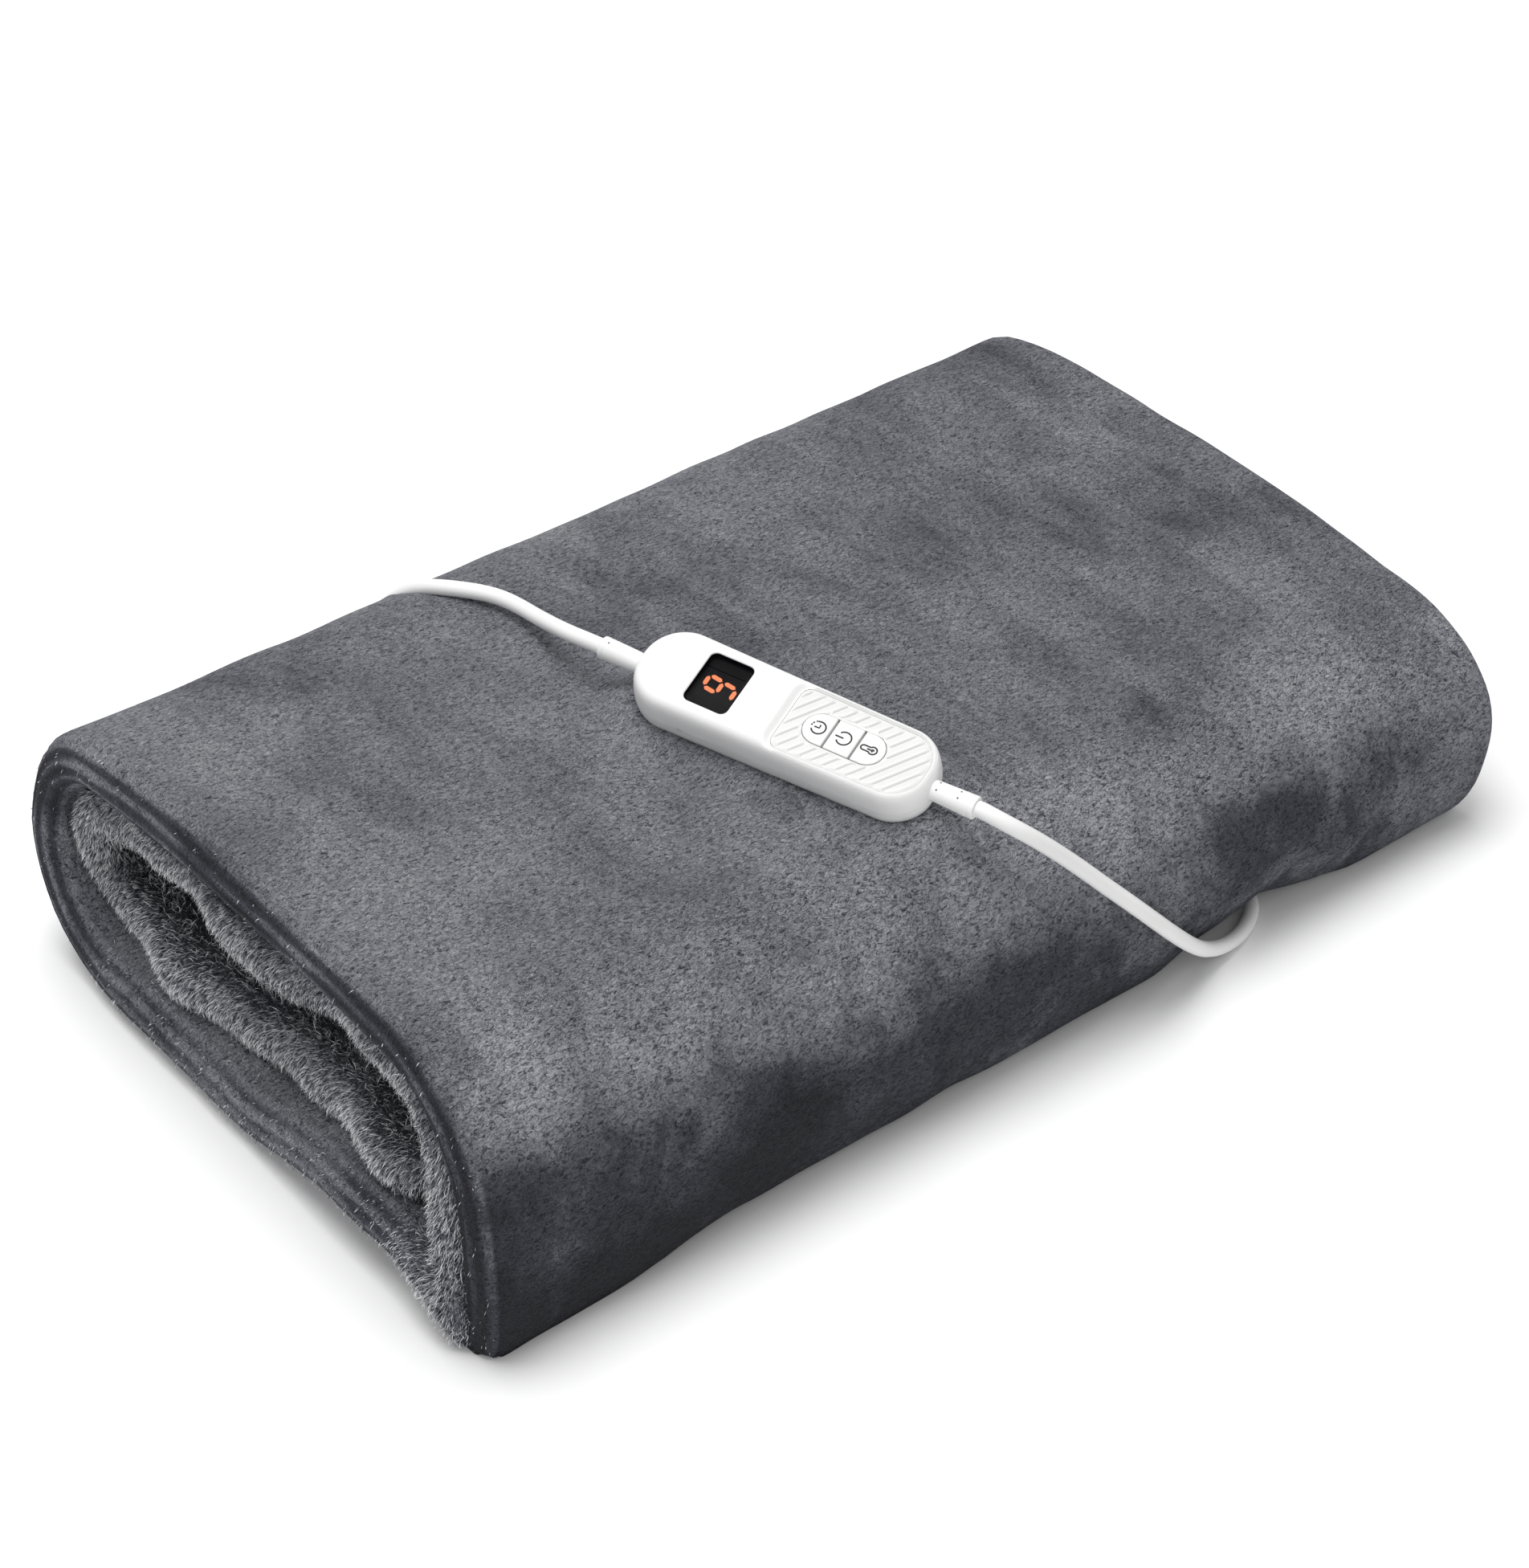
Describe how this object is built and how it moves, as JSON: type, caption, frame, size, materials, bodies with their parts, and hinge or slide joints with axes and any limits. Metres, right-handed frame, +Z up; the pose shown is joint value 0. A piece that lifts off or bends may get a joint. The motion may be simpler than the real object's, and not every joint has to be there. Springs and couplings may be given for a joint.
{
  "type": "heated throw with hand controller",
  "caption": "Grey plush electric heated throw, folded and rolled flat, with a white hand controller, its keypad and display on top, a detachable lead and a mains lead with plug.",
  "frame": {"origin": "under the middle of the rolled throw, at floor level, midway along each side", "axes": "+X along the roll, away from its open end; -Y towards the front, where the throw lead comes down; +Z up"},
  "size_m": [0.4604, 0.3376, 0.1308],
  "materials": {
    "plush": "short grey plush, brushed in patches",
    "plush_back": "longer, darker grey pile",
    "binding": "woven edge binding",
    "wire_insulation": "matt",
    "white_shell": "fine satin moulding",
    "white_panel": "ribbed, semi gloss",
    "white_button": "satin",
    "white_lead": "soft white cable plastic",
    "dark_window": "smoked, clear gloss",
    "lit_segment": "lit from behind",
    "black_component": "moulded",
    "board_green": "lacquered board",
    "fuse_glass": "clear",
    "capacitor_yellow": "dipped",
    "screw_steel": "zinc plated",
    "contact_metal": "nickel plated",
    "pin_sleeve": "matt",
    "tie_plastic": "coated wire tie"
  },
  "bodies": {
    "throw": {"face_ply": "plush", "back_ply": "plush_back", "hem_binding": "binding", "heating_wire": "wire_insulation", "socket_lower_shell": "white_shell", "socket_upper_shell": "white_shell", "socket_pins": "contact_metal", "thermal_cutoff": "black_component", "socket_tail": "white_lead", "connector_shell": "white_shell", "connector_contacts": "contact_metal", "connector_relief": "white_lead", "lower_shell": "white_shell", "upper_shell": "white_shell", "display_window": "dark_window", "digit_module": "black_component", "digit_segments": "lit_segment", "button_panel": "white_panel", "switch_bodies": "black_component", "circuit_board": "board_green", "controller_chip": "black_component", "triac": "black_component", "fuse": "fuse_glass", "suppressor_capacitor": "capacitor_yellow", "shell_screws": "screw_steel", "cord_clamps": "white_shell", "clamp_screws": "screw_steel", "mains_relief": "white_lead", "blanket_relief": "white_lead", "mains_conductors": "white_lead", "blanket_conductors": "white_lead", "mains_lead": "white_lead", "blanket_lead": "white_lead", "mains_lead_hank": "white_lead", "hank_tie": "tie_plastic", "plug_tail": "white_lead", "plug_relief": "white_lead", "plug_body": "white_lead", "plug_pins": "contact_metal", "pin_sleeves": "pin_sleeve"},
    "timer_key": {"timer_button": "white_button", "timer_plunger": "black_component"},
    "power_key": {"power_button": "white_button", "power_plunger": "black_component"},
    "heat_key": {"heat_button": "white_button", "heat_plunger": "black_component"}
  },
  "joints": [
    {"name": "timer_press", "type": "slide", "parent": "throw", "child": "timer_key", "axis": [0.223, 0.1439, -0.9641], "range_m": [0, 0.0005], "stiffness_N_per_m": 1500, "springref_m": -0.0005},
    {"name": "power_press", "type": "slide", "parent": "throw", "child": "power_key", "axis": [0.223, 0.1439, -0.9641], "range_m": [0, 0.0005], "stiffness_N_per_m": 1500, "springref_m": -0.0005},
    {"name": "heat_press", "type": "slide", "parent": "throw", "child": "heat_key", "axis": [0.223, 0.1439, -0.9641], "range_m": [0, 0.0005], "stiffness_N_per_m": 1500, "springref_m": -0.0005}
  ]
}
